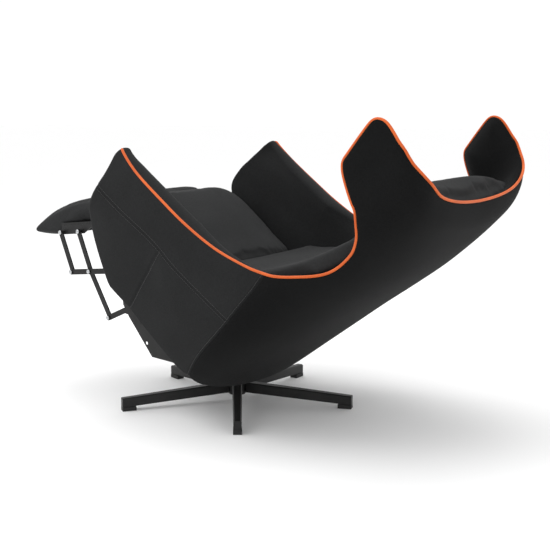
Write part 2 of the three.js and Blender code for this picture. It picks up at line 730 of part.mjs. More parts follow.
function driveRod() {
  const [py, pz] = TILT_AXLE;
  const [dy, dz] = [CRANK_PIN[0] - py, CRANK_PIN[1] - pz];
  const [c, s] = [Math.cos(RECLINE), Math.sin(RECLINE)];
  const crankPin = [py + c * dy + s * dz, pz - s * dy + c * dz];
  const reach = Math.hypot(crankPin[0] - DRIVE_LUG[0], crankPin[1] - DRIVE_LUG[1]);
  const [ey, ez] = [(crankPin[0] - DRIVE_LUG[0]) / reach, (crankPin[1] - DRIVE_LUG[1]) / reach];
  const bends = ROD_BENDS.map(([along, aside]) => [
    DRIVE_LUG[0] + along * ey - aside * ez,
    DRIVE_LUG[1] + along * ez + aside * ey,
  ]);
  const shape = strapShape([DRIVE_LUG, ...bends, crankPin], ROD_WIDTH);
  shape.holes.push(roundHole(DRIVE_LUG, PIN_RADIUS + 1 + HOLE_CLEARANCE));
  shape.holes.push(roundHole(crankPin, PIN_RADIUS + 1.5));
  return plateX(shape, ROD_X - STEEL / 2, ROD_X + STEEL / 2);
}

// ---------------------------------------------------------------- base

function baseHub() {
  const boreRadius = 14.3;
  const profile = [
    [0, 20], [24, 20], [26, 22], [HUB_RADIUS, 30], [HUB_RADIUS, 60], [boreRadius, 60], [boreRadius, 24],
    [0, 24], [0, 20],
  ];
  return new THREE.LatheGeometry(profile.map(([r, z]) => new THREE.Vector2(r, z)), 40).rotateX(Math.PI / 2);
}

function swivelPost() {
  const geometry = new THREE.CylinderGeometry(14, 14, 62, 32);
  return geometry.rotateX(Math.PI / 2).translate(0, 0, 24.3 + 31);
}

function thrustBearing() {
  const profile = [[14.4, 60.3], [28, 60.3], [28, 66], [14.4, 66], [14.4, 60.3]];
  return new THREE.LatheGeometry(profile.map(([r, z]) => new THREE.Vector2(r, z)), 32).rotateX(Math.PI / 2);
}

// Tapered box-section leg along +X, from the hub to its squared end.
function leg() {
  const rootX = Math.sqrt(HUB_RADIUS ** 2 - (LEG_ROOT_WIDTH / 2) ** 2) + 4.5;
  const ends = [
    { x: rootX, width: LEG_ROOT_WIDTH, top: LEG_ROOT_TOP, bottom: LEG_ROOT_TOP - LEG_ROOT_DEPTH },
    { x: BASE_RADIUS, width: LEG_TIP_WIDTH, top: LEG_TIP_TOP, bottom: LEG_TIP_TOP - LEG_TIP_DEPTH },
  ];
  const bevel = 3;
  const ring = ({ x, width, top, bottom }) => [
    [x, width / 2, bottom], [x, width / 2, top - bevel], [x, width / 2 - bevel, top],
    [x, bevel - width / 2, top], [x, -width / 2, top - bevel], [x, -width / 2, bottom],
  ];
  const positions = ends.flatMap(ring).flat();
  const sides = 6;
  const index = [];
  for (let k = 0; k < sides; k++) {
    const next = (k + 1) % sides;
    index.push(k, next, sides + k, next, sides + next, sides + k);
  }
  for (let k = 1; k < sides - 1; k++) {
    index.push(0, k + 1, k);
    index.push(sides, sides + k, sides + k + 1);
  }
  const geometry = new THREE.BufferGeometry();
  geometry.setAttribute("position", new THREE.BufferAttribute(new Float32Array(positions), 3));
  geometry.setIndex(index);
  return geometry;
}

function glideFoot() {
  const top = LEG_TIP_TOP - LEG_TIP_DEPTH - GAP;
  return box(BASE_RADIUS - FOOT_LENGTH, BASE_RADIUS, -12, 12, 0, Math.min(top, FOOT_HEIGHT));
}

// ---------------------------------------------------------------- assembly

const chair = new THREE.Group();
chair.position.y = SWIVEL_AXIS_Y;

const base = new THREE.Group();
base.add(
  part("base_hub", baseHub(), blackSteel()),
  part("swivel_post", swivelPost(), zincSteel()),
  part("thrust_bearing", thrustBearing(), zincSteel()),
);
for (let k = 0; k < LEG_COUNT; k++) {
  const arm = new THREE.Group();
  arm.rotation.z = FIRST_LEG_ANGLE + (k * 2 * Math.PI) / LEG_COUNT;
  arm.add(part(`base_leg_${k + 1}`, leg(), blackSteel()));
  arm.add(part(`glide_foot_${k + 1}`, glideFoot(), blackNylon()));
  base.add(arm);
}

const head = new THREE.Group();
head.add(
  part("swivel_sleeve", swivelSleeve(), blackSteel()),
  part("tilt_bracket", tiltBracket(), blackSteel()),
  part("tilt_axle", tiltAxle(), zincSteel()),
  part("drive_rod", driveRod(), blackSteel()),
);

// Everything that tilts is drawn upright, then turned back about the tilt axle.
const tilting = new THREE.Group();
tilting.position.set(0, ...TILT_AXLE);
tilting.rotation.x = -RECLINE;
const upright = new THREE.Group();
upright.position.set(0, -TILT_AXLE[0], -TILT_AXLE[1]);
tilting.add(upright);

const addPair = (name, geometry, material) => {
  upright.add(part(`${name}_left`, geometry, material()));
  upright.add(part(`${name}_right`, mirrored(geometry), material()));
};

upright.add(
  part("shell_back", shellBack(), fabric()),
  part("piping", piping(), orangePiping()),
  part("seat_cushion", seatCushion(), liningFabric()),
  part("back_cushion", backCushion(), liningFabric()),
  part("seat_board", seatBoard(), plywood()),
  part("cross_rail_front", crossRail(-345, -325), blackSteel()),
  part("cross_rail_middle", crossRail(-135, -95), blackSteel()),
  part("cross_rail_rear", crossRail(-5, 15), blackSteel()),
  part("fold_shaft", foldShaft(), blackSteel()),
  part("drive_crank", driveCrank(), blackSteel()),
  part("footrest_pad", footrestPad(), fabric()),
  part("footrest_board", footrestBoard(), plywood()),
);
addPair("shell_side", shellSide(), fabric);
addPair("seat_rail", sideRail(), blackSteel);
addPair("pivot_plate", pivotPlate(), blackSteel);
addPair("pivot_bush", pivotBush(), blackNylon);
addPair("mechanism_plate", mechanismPlate(), blackSteel);
addPair("fold_link", foldLink(), blackSteel);
addPair("cross_link", crossLink(), blackSteel);
addPair("front_link", frontLink(), blackSteel);
addPair("rear_link", rearLink(), blackSteel);
addPair("footrest_bracket", footrestBracket(), blackSteel);

chair.add(base, head, tilting);

export default chair;
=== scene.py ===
import json
import math

import bpy
import numpy as np
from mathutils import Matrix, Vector
from mathutils.kdtree import KDTree


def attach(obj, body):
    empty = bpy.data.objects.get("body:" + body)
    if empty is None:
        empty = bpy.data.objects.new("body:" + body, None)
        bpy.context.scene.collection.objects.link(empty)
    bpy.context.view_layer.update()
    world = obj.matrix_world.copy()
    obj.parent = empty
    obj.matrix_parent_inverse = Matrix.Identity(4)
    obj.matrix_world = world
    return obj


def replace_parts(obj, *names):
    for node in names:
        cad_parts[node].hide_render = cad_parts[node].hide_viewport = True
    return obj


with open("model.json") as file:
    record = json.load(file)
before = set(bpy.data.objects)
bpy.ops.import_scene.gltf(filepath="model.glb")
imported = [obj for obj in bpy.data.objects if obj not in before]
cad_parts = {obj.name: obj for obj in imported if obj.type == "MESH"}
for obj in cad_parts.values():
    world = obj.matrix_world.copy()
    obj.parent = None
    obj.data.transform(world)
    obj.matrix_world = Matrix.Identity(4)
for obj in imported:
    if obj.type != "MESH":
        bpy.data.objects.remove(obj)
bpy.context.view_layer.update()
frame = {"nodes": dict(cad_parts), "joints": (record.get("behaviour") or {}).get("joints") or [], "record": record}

joints = {j["name"]: j for j in frame["joints"]}

# ------------------------------------------------------------------ frame of the tilting shell
# The shell is drawn upright, in millimetres from the swivel axis, and then laid back about its axle.

MM = 0.001
RECLINE = math.radians(joints["recline"]["range_deg"][1])
SWIVEL_Y = joints["swivel"]["pos_m"][1]
AXLE_Y, AXLE_Z = joints["recline"]["pos_m"][1:]


def to_row(points):
    """Upright millimetres to metres in the row frame, laid back."""
    p = np.asarray(points, float) * MM
    y = p[..., 1] + SWIVEL_Y - AXLE_Y
    z = p[..., 2] - AXLE_Z
    c, s = math.cos(RECLINE), math.sin(RECLINE)
    return np.stack([p[..., 0], AXLE_Y + c * y + s * z, AXLE_Z - s * y + c * z], axis=-1)


# ------------------------------------------------------------------ camera

SENSOR_WIDTH = 36
CAMERA_LENS = 69.0
CAMERA_DISTANCE = 3.069
CAMERA_HEIGHT = 0.862
CAMERA_YAW = math.radians(35)
CAMERA_PAN = math.radians(2.11)
CAMERA_PITCH = math.radians(8.97)


def make_camera():
    camera = bpy.data.objects.new("camera", bpy.data.cameras.new("camera"))
    camera.data.lens = CAMERA_LENS
    camera.data.sensor_width = SENSOR_WIDTH
    aside = Vector((math.cos(CAMERA_YAW), math.sin(CAMERA_YAW), 0))
    right = Vector((-math.sin(CAMERA_YAW), math.cos(CAMERA_YAW), 0))
    camera.location = aside * CAMERA_DISTANCE + Vector((0, SWIVEL_Y, CAMERA_HEIGHT))
    level = right * math.sin(CAMERA_PAN) - aside * math.cos(CAMERA_PAN)
    look = level * math.cos(CAMERA_PITCH) - Vector((0, 0, math.sin(CAMERA_PITCH)))
    camera.rotation_mode = "QUATERNION"
    camera.rotation_quaternion = look.to_track_quat("-Z", "Y")
    bpy.context.collection.objects.link(camera)
    bpy.context.scene.camera = camera


# ------------------------------------------------------------------ materials
# Noise scales are per metre, a ramp's stops are (noise value, colour), and bumps are in metres.

SHEEN_ROUGHNESS = 0.45


class Shader:
    """A principled material with a short way to add nodes."""

    def __init__(self, name, color, roughness, metallic=0.0, sheen=0.0, specular=0.5):
        self.material = bpy.data.materials.new(name)
        self.material.use_nodes = True
        self.tree = self.material.node_tree
        self.surface = self.tree.nodes["Principled BSDF"]
        self.set(self.surface, "Base Color", (*color, 1))
        self.set(self.surface, "Roughness", roughness)
        self.set(self.surface, "Metallic", metallic)
        self.set(self.surface, "Sheen Weight", sheen)
        self.set(self.surface, "Sheen Roughness", SHEEN_ROUGHNESS)
        self.set(self.surface, "Specular IOR Level", specular)
        self.coordinates = self.tree.nodes.new("ShaderNodeTexCoord").outputs["Object"]
        self.height = None

    @staticmethod
    def set(node, socket, value):
        node.inputs[socket].default_value = value

    def link(self, out, node, socket):
        self.tree.links.new(out, node.inputs[socket])

    def noise(self, scale, detail=3.0, stretch=(1, 1, 1)):
        mapping = self.tree.nodes.new("ShaderNodeMapping")
        self.set(mapping, "Scale", stretch)
        self.link(self.coordinates, mapping, "Vector")
        node = self.tree.nodes.new("ShaderNodeTexNoise")
        self.set(node, "Scale", scale)
        self.set(node, "Detail", detail)
        self.link(mapping.outputs[0], node, "Vector")
        return node.outputs["Fac"]

    def math(self, operation, a, b):
        node = self.tree.nodes.new("ShaderNodeMath")
        node.operation = operation
        for socket, value in enumerate((a, b)):
            if isinstance(value, (int, float)):
                node.inputs[socket].default_value = value
            else:
                self.tree.links.new(value, node.inputs[socket])
        return node.outputs[0]

    def weighted(self, *parts):
        """The sum of values, each times its weight."""
        terms = [self.math("MULTIPLY", value, weight) for value, weight in parts]
        total = terms[0]
        for term in terms[1:]:
            total = self.math("ADD", total, term)
        return total

    def ramp(self, factor, stops):
        node = self.tree.nodes.new("ShaderNodeValToRGB")
        elements = node.color_ramp.elements
        for element, (position, color) in zip(elements, (stops[0], stops[-1])):
            element.position = position
            element.color = (*color, 1)
        for position, color in stops[1:-1]:
            elements.new(position).color = (*color, 1)
        self.link(factor, node, "Fac")
        return node.outputs["Color"]

    def color(self, factor, stops):
        self.link(self.ramp(factor, stops), self.surface, "Base Color")

    def roughness(self, factor, low, high):
        node = self.tree.nodes.new("ShaderNodeMapRange")
        self.set(node, "To Min", low)
        self.set(node, "To Max", high)
        self.link(factor, node, "Value")
        self.link(node.outputs[0], self.surface, "Roughness")

    def bump(self, height, distance, strength=1.0):
        node = self.tree.nodes.new("ShaderNodeBump")
        self.set(node, "Distance", distance)
        self.set(node, "Strength", strength)
        self.link(height, node, "Height")
        if self.height is not None:
            self.link(self.height, node, "Normal")
        self.height = node.outputs["Normal"]
        self.link(self.height, self.surface, "Normal")


def grey(value, tint=0.0):
    return (value * (1 - tint), value, value * (1 + tint))


def woven(name, dark, light):
    """Fine plain weave: two ways of thread, a slubby yarn and soft patches of shade."""
    shader = Shader(name, grey(dark), 0.9, sheen=0.03, specular=0.08)
    across = shader.noise(520, 2.0, (0.25, 0.25, 1.6))
    along = shader.noise(520, 2.0, (1.6, 1.0, 0.25))
    slub = shader.noise(1400, 2.0)
    weave = shader.math("MULTIPLY", shader.math("ADD", across, along), 0.5)
    shade = shader.weighted((weave, 0.5), (slub, 0.25), (shader.noise(6, 4.0), 0.25))
    shader.color(shade, [(0.38, grey(dark, 0.02)), (0.62, grey(light, 0.02))])
    shader.roughness(slub, 0.82, 0.98)
    shader.bump(shader.math("ADD", weave, slub), 0.0005, 0.5)
    shader.bump(shader.noise(30, 4.0), 0.0012, 0.3)
    return shader.material


def piping_cloth():
    shader = Shader("piping_cloth", (0.62, 0.115, 0.022), 0.6, sheen=0.05, specular=0.25)
    grain = shader.noise(900, 2.0)
    shade = shader.weighted((grain, 0.5), (shader.noise(14, 3.0), 0.5))
    shader.color(shade, [(0.35, (0.52, 0.085, 0.014)), (0.65, (0.72, 0.140, 0.028))])
    shader.bump(grain, 0.0004, 0.6)
    return shader.material


def powder_coat():
    """Satin black powder coat with a fine orange-peel and rubbed patches."""
    shader = Shader("powder_coat", grey(0.010), 0.45, specular=0.3)
    peel = shader.noise(420, 3.0)
    wear = shader.noise(16, 5.0)
    shader.color(wear, [(0.35, grey(0.007)), (0.7, grey(0.017))])
    shader.roughness(wear, 0.36, 0.58)
    shader.bump(peel, 0.0003, 0.4)
    return shader.material


def zinc():
    shader = Shader("zinc_plate", grey(0.55), 0.35, metallic=0.9)
    brushed = shader.noise(160, 4.0, (1, 6, 6))
    shader.color(brushed, [(0.3, grey(0.36, 0.02)), (0.7, grey(0.62, 0.02))])
    shader.roughness(brushed, 0.24, 0.45)
    shader.bump(brushed, 0.0002, 0.3)
    return shader.material


def nylon():
    shader = Shader("moulded_nylon", grey(0.009), 0.6, specular=0.4)
    grain = shader.noise(700, 2.0)
    shader.color(grain, [(0.3, grey(0.006)), (0.7, grey(0.014))])
    shader.roughness(grain, 0.5, 0.7)
    shader.bump(grain, 0.0003, 0.5)
    return shader.material


def painted_board():
    """Plywood under black paint, its grain just showing."""
    shader = Shader("painted_board", grey(0.012), 0.6, specular=0.3)
    grain = shader.noise(9, 6.0, (1, 14, 22))
    shader.color(grain, [(0.3, grey(0.008)), (0.7, grey(0.020))])
    shader.roughness(grain, 0.5, 0.72)
    shader.bump(grain, 0.0004, 0.4)
    return shader.material


def thread():
    shader = Shader("sewing_thread", grey(0.045), 0.6, sheen=0.05)
    twist = shader.noise(2200, 1.0)
    shader.color(twist, [(0.3, grey(0.030)), (0.7, grey(0.060))])
    shader.bump(twist, 0.0002, 0.6)
    return shader.material


MATERIALS = {
    "fabric": woven("shell_weave", 0.012, 0.023),
    "cushion_fabric": woven("cushion_weave", 0.018, 0.032),
    "piping": piping_cloth(),
    "black_steel": powder_coat(),
    "zinc_steel": zinc(),
    "black_nylon": nylon(),
    "plywood": painted_board(),
}
THREAD = thread()
# A darker copy of the shell's weave for the back panel: painted shade on the back, which faces away from the
# lights.
PAINTED_SHADE_BACK_CLOTH = woven("painted_shade_back_cloth", 0.004, 0.009)

# ------------------------------------------------------------------ mesh helpers


def piece_from(name, points, faces, slot, body, material=None):
    """A smooth mesh in the row frame, riding on a body."""
    mesh = bpy.data.meshes.new(name)
    mesh.from_pydata([tuple(p) for p in points], [], faces)
    mesh.validate()
    mesh.shade_smooth()
    mesh.materials.append(material or MATERIALS[slot])
    piece = bpy.data.objects.new(name, mesh)
    bpy.context.collection.objects.link(piece)
    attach(piece, body)
    return piece


def coordinates(mesh):
    points = np.zeros(len(mesh.vertices) * 3, np.float32)
    mesh.vertices.foreach_get("co", points)
    return points.reshape(-1, 3).astype(float)


def set_coordinates(mesh, points):
    mesh.vertices.foreach_set("co", points.astype(np.float32).ravel())
    mesh.update()


def curve_at(knots, x):
    """Value at x on the smooth curve through the knots (x, value)."""
    xs, values = np.array(knots, float).T
    x = np.clip(x, xs[0], xs[-1] - 1e-6)
    k = np.clip(np.searchsorted(xs, x, side="right") - 1, 0, len(xs) - 2)
    before = np.maximum(np.arange(len(xs)) - 1, 0)
    after = np.minimum(np.arange(len(xs)) + 1, len(xs) - 1)
    slopes = (values[after] - values[before]) / (xs[after] - xs[before])
    w = xs[k + 1] - xs[k]
    t = (x - xs[k]) / w
    h = t * t * (3 - 2 * t)
    bend = t * (1 - t) ** 2 * slopes[k] - t * t * (1 - t) * slopes[k + 1]
    return values[k] * (1 - h) + values[k + 1] * h + w * bend


def smooth_path(points, per_span=24):
    """Points along the smooth open curve through the given ones, close together."""
    p = np.asarray(points, float)
    padded = np.concatenate([p[:1], p, p[-1:]])
    t = np.linspace(0, 1, per_span, endpoint=False)[:, None]
    spans = []
    for p0, p1, p2, p3 in zip(padded, padded[1:], padded[2:], padded[3:]):
        v0, v1 = (p2 - p0) / 2, (p3 - p1) / 2
        cubic = 2 * p1 - 2 * p2 + v0 + v1
        square = 3 * p2 - 3 * p1 - 2 * v0 - v1
        spans.append(cubic * t**3 + square * t**2 + v0 * t + p1)
    return np.concatenate([*spans, p[-1:]])


def run_lengths(path):
    """How far along the path each of its points is."""
    steps = np.linalg.norm(np.diff(path, axis=0), axis=1)
    return np.concatenate([[0], np.cumsum(steps)])


def sample(rows, places, at):
    """Rows known at places, read off at other places between them."""
    return np.stack([np.interp(at, places, column) for column in rows.T], axis=-1)


def spread(path, count):
    """The same path as count points at even distances."""
    lengths = run_lengths(path)
    return sample(path, lengths, np.linspace(0, lengths[-1], count))


CURVE_POINTS = 600


def plane_curve(points):
    """A function of t from 0 to 1, by length, along the smooth curve through points."""
    path = spread(smooth_path(points), CURVE_POINTS)
    places = np.linspace(0, 1, CURVE_POINTS)
    return lambda t: sample(path, places, t)


def smoothed(path, passes):
    """The path with each point but the ends brought to the mean of itself and its neighbours."""
    path = path.copy()
    for _ in range(passes):
        path[1:-1] = (path[:-2] + path[1:-1] + path[2:]) / 3
    return path


def unit(vectors):
    """Rows of vectors at length 1."""
    return vectors / np.maximum(np.linalg.norm(vectors, axis=1, keepdims=True), 1e-9)


def ring_faces(rings, sides, inward=False):
    """Quads that join rings of points, where each ring is numbered after the one before it."""
    faces = []
    for k in range(rings - 1):
        for m in range(sides):
            here, beside = k * sides + m, k * sides + (m + 1) % sides
            if inward:
                faces.append((here, here + sides, beside + sides, beside))
            else:
                faces.append((here, beside, beside + sides, here + sides))
    return faces


class TwoGrids:
    """Point numbers and quads of two equal grids, back to back. The outer grid is layer 0."""

    def __init__(self, columns, rows):
        self.rows = rows
        self.size = (columns + 1) * (rows + 1)

    def at(self, layer, i, j):
        return layer * self.size + i * (self.rows + 1) + j

    def quads(self, i, j):
        """The outer and the inner quad whose lowest corner is (i, j)."""
        around = ((i, j), (i + 1, j), (i + 1, j + 1), (i, j + 1))
        back_around = ((i, j), (i, j + 1), (i + 1, j + 1), (i + 1, j))
        return [tuple(self.at(0, *c) for c in around), tuple(self.at(1, *c) for c in back_around)]


# ------------------------------------------------------------------ shell surface
# A place on the shell's outside is (s, z): z is the height with the shell upright, and s runs along
# the wall, -1 at the front of the side, 0 where the corner starts and 1 at the middle of the back.

# The side wall's front, and the curve by which it eases in: FRONT_EASE at FRONT_EASE_LENGTH
# forward of FRONT_EASE_Y
SIDE_FRONT_Y = -390
FRONT_EASE = 14
FRONT_EASE_Y = -250
FRONT_EASE_LENGTH = 160
# By height: half the width outside, y where the corner starts, y of the back, and how square the
# corner is, 2 being an ellipse
HALF_WIDTH = [
    (215, 296), (250, 322), (290, 342), (380, 374), (460, 394), (522, 402), (560, 400), (610, 394),
    (680, 386), (860, 370), (1020, 362), (1160, 356),
]
CORNER_START = [
    (215, 50), (300, 82), (412, 112), (487, 130), (587, 150), (657, 170), (857, 240), (1000, 270),
    (1160, 280),
]
BACK_Y = [
    (215, 160), (250, 175), (367, 217), (540, 283), (708, 354), (790, 386), (867, 408), (930, 420),
    (1010, 428), (1160, 430),
]
SQUARENESS = [(215, 2.1), (400, 2.3), (600, 2.4), (860, 2.5), (1050, 3.6), (1160, 3.9)]
# Height of the head's rim, by s
RIM_HEIGHT = [
    (0, 1129), (0.03, 1118), (0.06, 1112), (0.12, 1104), (0.4, 1081), (0.65, 1052), (1, 1030),
]
# Close to its rim the head turns inwards, over this height, by this much, and fully from the place
# where the corner has come round by this share
TURN_IN_HEIGHT = 70
TURN_IN = 22
TURN_IN_FULL = 0.75
# Thickness of the padded wall, by height
WALL = [(215, 46), (400, 72), (500, 84), (600, 72), (655, 60), (760, 58), (1000, 52), (1160, 38)]
# Outlines are drawn in millimetres both ways, with this much for each unit of s
WALL_SPAN = 500

# Outlines of the side walls, as (y, z) on the side
ARM_FRONT = [
    (-235, 314), (-323, 410), (-362, 456), (-384, 491), (-385, 544), (-381, 582), (-382, 618),
    (-386, 648), (-380, 668),
]
ARM_RIM = [
    (-380, 668), (-366, 663), (-330, 654), (-281, 646), (-198, 638), (-98, 631), (12, 634), (110, 652),
    (165, 670),
]
SIDE_BACK_SEAM = [(92, 256), (106, 335), (134, 443), (149, 510), (161, 601), (165, 670)]
NOTCH_AND_WING_FRONT = [
    (165, 670), (230, 708), (293, 764), (318, 835), (315, 886), (289, 931), (228, 977), (190, 1012),
    (187, 1041), (194, 1128), (204, 1147),
]
WING_TIP = [(204, 1147), (222, 1151), (250, 1142)]
BOTTOM_SIDE = [(-235, 314), (-157, 302), (-96, 290), (-19, 272), (50, 258), (92, 256)]
RIDGE_SEAM = [(-385, 544), (-275, 541), (-180, 539), (-122, 534), (-65, 524), (26, 517), (149, 510)]
FRONT_SEAM = [(-122, 534), (-129, 443), (-147, 337), (-157, 303)]
# Outlines of the back, as (s, z)
BOTTOM_REAR = [(0.3, 236), (0.6, 228), (1, 232)]
BACK_MIDDLE = [(1, 232), (1, 500), (1, 800), (1, 1030)]
# Share of the back's left edge, going up, that is the seam to the side wall
SEAM_SHARE = 0.4
# How far the inner face reaches ahead of the outer one at the arm's front, by height
FRONT_LEAN = [(314, 0), (430, 22), (500, 28), (560, 26), (610, 16), (655, 0)]


def wall_point(s, z, depth):
    """Upright point of the wall at (s, z), a depth in from its outside. Takes arrays."""
    s, z, depth = np.broadcast_arrays(*(np.asarray(value, float) for value in (s, z, depth)))
    s = np.minimum(s, 1)
    corner = curve_at(CORNER_START, z)
    side = s <= 0
    angle = np.maximum(s, 0) * math.pi / 2
    power = 2 / curve_at(SQUARENESS, z)
    turned = np.sin(angle) ** power
    from_rim = z - curve_at(RIM_HEIGHT, np.maximum(s, 0))
    rise = np.clip((from_rim + TURN_IN_HEIGHT) / TURN_IN_HEIGHT, 0, 1)
    turn_in = np.minimum(1, turned / TURN_IN_FULL)
    turn_in = TURN_IN * turn_in**2 * (3 - 2 * turn_in) * rise**2
    inset = depth + np.where(side, 0, turn_in)
    side_y = corner + s * (corner - SIDE_FRONT_Y)
    ease = np.maximum(0, (FRONT_EASE_Y - side_y) / FRONT_EASE_LENGTH)
    half = curve_at(HALF_WIDTH, z)
    side_x = half - FRONT_EASE * ease**2 - inset
    x = np.where(side, side_x, (half - inset) * np.maximum(np.cos(angle), 0) ** power)
    y = np.where(side, side_y, corner + (curve_at(BACK_Y, z) - inset - corner) * turned)
    return np.stack([np.where(s >= 1, 0, x), y, z], axis=-1)


def side_s(y, z):
    """s of the place on the side wall that is at y."""
    corner = curve_at(CORNER_START, z)
    rise = np.clip((y - corner) / (curve_at(BACK_Y, z) - corner), 0, 1)
    round_corner = np.arcsin(rise ** (curve_at(SQUARENESS, z) / 2)) / (math.pi / 2)
    return np.where(y <= corner, (y - corner) / (corner - SIDE_FRONT_Y), round_corner)


def from_side(points):
    """Outline points in millimetres, of places given as (y, z) on the side."""
    return [(WALL_SPAN * float(side_s(y, z)), z) for y, z in points]


def from_back(points):
    """Outline points in millimetres, of places given as (s, z)."""
    return [(WALL_SPAN * s, z) for s, z in points]


def patch(front, rear, bottom, top):
    """(s, z) of the place at a from front to rear and v from bottom to top, between four outlines."""

    def place(a, v):
        a, v = np.broadcast_arrays(a, v)
        a1, v1 = a[..., None], v[..., None]
        corners = [curve(np.float64(end)) for curve in (bottom, top) for end in (0, 1)]
        p = (1 - v1) * bottom(a) + v1 * top(a) + (1 - a1) * front(v) + a1 * rear(v)
        p = p - (1 - a1) * (1 - v1) * corners[0] - a1 * (1 - v1) * corners[1]
        p = p - (1 - a1) * v1 * corners[2] - a1 * v1 * corners[3]
        return p[..., 0] / WALL_SPAN, p[..., 1]

    return place


side_seam = plane_curve(from_side(SIDE_BACK_SEAM))
wing_front = plane_curve(from_side(NOTCH_AND_WING_FRONT))
arm_rim = plane_curve(from_side(ARM_RIM))
head_rim = plane_curve(from_side(WING_TIP) + from_back(RIM_HEIGHT))
side_place = patch(
    plane_curve(from_side(ARM_FRONT)), side_seam, plane_curve(from_side(BOTTOM_SIDE)), arm_rim
)


def seam_then_wing(v):
    """The back's left edge: up the seam to the side wall, then up the notch and the wing's front."""
    low = side_seam(np.minimum(v / SEAM_SHARE, 1))
    high = wing_front(np.maximum((v - SEAM_SHARE) / (1 - SEAM_SHARE), 0))
    return np.where((v < SEAM_SHARE)[..., None], low, high)


back_place = patch(
    seam_then_wing,
    plane_curve(from_back(BACK_MIDDLE)),
    plane_curve(from_side(SIDE_BACK_SEAM[:1]) + from_back(BOTTOM_REAR)),
    head_rim,
)


def seam_on_shell(points, count):
    """A seam's upright points on the shell's outside."""
    d, z = spread(smooth_path(from_side(points)), count).T
    return wall_point(d / WALL_SPAN, z, 0)


SEAMS = {
    "ridge": seam_on_shell(RIDGE_SEAM, 260),
    "front": seam_on_shell(FRONT_SEAM, 120),
    "back": seam_on_shell(SIDE_BACK_SEAM, 210),
}
# Depth and width of the groove at a seam, and how far the cloth stands proud away from it
SEAM_DEPTH = 2.6
SEAM_WIDTH = 3.2
PANEL_PUFF = 3.0
PUFF_REACH = 38.0


def distance_to(points, targets):
    """Distance from each point to the nearest target."""
    tree = KDTree(len(targets))
    for k, target in enumerate(targets):
        tree.insert(target, k)
    tree.balance()
    return np.array([tree.find(p)[2] for p in points])


def sewn_depth(points):
    """How far the cloth sits in from the panel's line: pulled in at the seams, proud between them."""
    away = distance_to(points, np.concatenate(list(SEAMS.values())))
    groove = SEAM_DEPTH * np.exp(-((away / SEAM_WIDTH) ** 2))
    return groove - PANEL_PUFF * (1 - np.exp(-((away / PUFF_REACH) ** 2)))


# The rim's outlines, and how many points each one gets
RIM_RUNS = [(arm_rim, 160), (wing_front, 240), (head_rim, 170)]


def rim_path():
    """Upright points of the left rim, from the arm's tip to the middle of the head, and the two
    directions at each: out of the wall, and away from its edge."""
    places = [curve(np.linspace(0, 1, count, endpoint=False)) for curve, count in RIM_RUNS]
    d, z = np.concatenate([*places, head_rim(np.array([1.0]))]).T
    edge = wall_point(d / WALL_SPAN, z, 0)
    outward = unit(edge - wall_point(d / WALL_SPAN, z, 1))
    away = unit(np.cross(outward, np.gradient(edge, axis=0)))
    return edge, outward, away


RIM, RIM_OUTWARD, RIM_AWAY = rim_path()
ARM_TIP = wall_point(side_s(*ARM_RIM[0]), ARM_RIM[0][1], 0)
# The padding thins out towards the piped rim behind the arm, and at the arm's tip
RIM_THIN = 0.82
RIM_REACH = 30.0
TIP_THIN = 0.35
TIP_REACH = 75.0


def wall_depth(s, z, rim_share):
    """Thickness of the padded wall at places given as arrays, rim_share being how much it thins."""
    points = wall_point(s, z, 0).reshape(-1, 3)
    rim = distance_to(points, RIM).reshape(s.shape)
    tip = np.linalg.norm(points - ARM_TIP, axis=1).reshape(s.shape)
    at_rim = 1 - RIM_THIN * rim_share * np.exp(-rim / RIM_REACH)
    at_tip = 1 - TIP_THIN * np.exp(-((tip / TIP_REACH) ** 2))
    return curve_at(WALL, z) * (at_rim * at_tip)


# The share of the way back along the side at which its rim starts to thin, and over which it does
THIN_FROM = 0.55
THIN_OVER = 0.4


def wall_surfaces(place, columns, rows, lean, both_sides):
    """Outer and inner points of a wall over a grid. A wall on both sides is mirrored at its rear."""
    a, v = np.meshgrid(np.linspace(0, 1, columns + 1), np.linspace(0, 1, rows + 1), indexing="ij")
    if both_sides:
        s, z = place(np.where(a <= 0.5, 2 * a, 2 - 2 * a), v)
        sign = np.where(a <= 0.5, 1, -1)
        rim_share = np.ones_like(s)
    else:
        s, z = place(a, v)
        sign = np.ones_like(a)
        rim_share = np.clip((a - THIN_FROM) / THIN_OVER, 0, 1)
    sewn = sewn_depth(wall_point(s, z, 0).reshape(-1, 3)).reshape(s.shape)
    outer = wall_point(s, z, sewn)
    inner = wall_point(s, z, wall_depth(s, z, rim_share))
    if lean:
        inner[..., 1] -= curve_at(FRONT_LEAN, z) * (1 - a) ** 4
    outer[..., 0] *= sign
    inner[..., 0] *= sign
    return outer, inner


def edge_walk(columns, rows):
    """The places round a grid's edge, each as (side, i, j)."""
    walk = [("bottom", i, 0) for i in range(columns)]
    walk += [("rear", columns, j) for j in range(rows)]
    walk += [("top", i, rows) for i in range(columns, 0, -1)]
    walk += [("front", 0, j) for j in range(rows, 0, -1)]
    return walk


# Steps of the half-round roll that closes the wall's edge, and how far it stands out from the edge
ROLL_STEPS = 8
ROLL_PASSES = 6
ARM_ROLL = 13
ARM_ROLL_FROM = 0.12
TIP_ROLL = 6
WING_ROLL = 2
FRONT_ROLL = 13


def roll_points(outer, inner, height):
    """Rows of points round the edge, between its outer and inner points."""
    along = np.roll(outer, -1, axis=0) - np.roll(outer, 1, axis=0)
    away = unit(np.cross(along, outer - inner))
    for _ in range(ROLL_PASSES):
        height = (np.roll(height, 1) + height + np.roll(height, -1)) / 3
    middle, half = (outer + inner) / 2, (outer - inner) / 2
    turns = [math.pi * k / ROLL_STEPS for k in range(1, ROLL_STEPS)]
    return [middle + half * math.cos(t) + away * (height * math.sin(t))[:, None] for t in turns]


